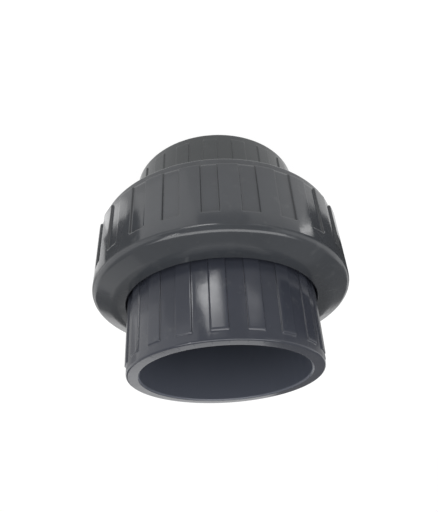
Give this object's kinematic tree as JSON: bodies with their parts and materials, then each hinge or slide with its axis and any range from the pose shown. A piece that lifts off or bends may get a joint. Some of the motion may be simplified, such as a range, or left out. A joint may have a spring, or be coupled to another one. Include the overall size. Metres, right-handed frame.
{
  "type": "pipe union",
  "caption": "Pipe union with two solvent-weld sockets, joined by a ribbed nut that draws a collar and its O-ring onto a flat seal face.",
  "frame": {"origin": "centre of the threaded end's mouth, the face that the union stands on", "axes": "+Z along the pipe's axis, from the threaded end's mouth towards the tail end's mouth"},
  "size_m": [0.1028, 0.1028, 0.09],
  "materials": {
    "threaded_end_pvc": "dark grey moulded PVC-U, semi-gloss",
    "union_nut_pvc": "dark grey moulded PVC-U, semi-gloss",
    "tail_end_pvc": "dark grey moulded PVC-U, semi-gloss",
    "o_ring_rubber": "matt black EPDM"
  },
  "bodies": {
    "threaded_end": {"threaded_end": "threaded_end_pvc"},
    "o_ring": {"o_ring": "o_ring_rubber"},
    "union_nut": {"union_nut": "union_nut_pvc"},
    "tail_end": {"tail_end": "tail_end_pvc"}
  },
  "joints": [
    {"name": "thread_travel", "type": "slide", "parent": "threaded_end", "child": "o_ring", "axis": [0, 0, 1], "range_m": [0, 0.014]},
    {"name": "nut_turn", "type": "hinge", "parent": "o_ring", "child": "union_nut", "pos_m": [0, 0, 0.045], "axis": [0, 0, 1], "range_deg": [0, 1260]},
    {"name": "tail_swivel", "type": "hinge", "parent": "o_ring", "child": "tail_end", "pos_m": [0, 0, 0.0475], "axis": [0, 0, 1], "continuous": true}
  ],
  "couplings": [
    {"joint": "thread_travel", "follows": "nut_turn", "m_per_rad": 0.00063662}
  ]
}
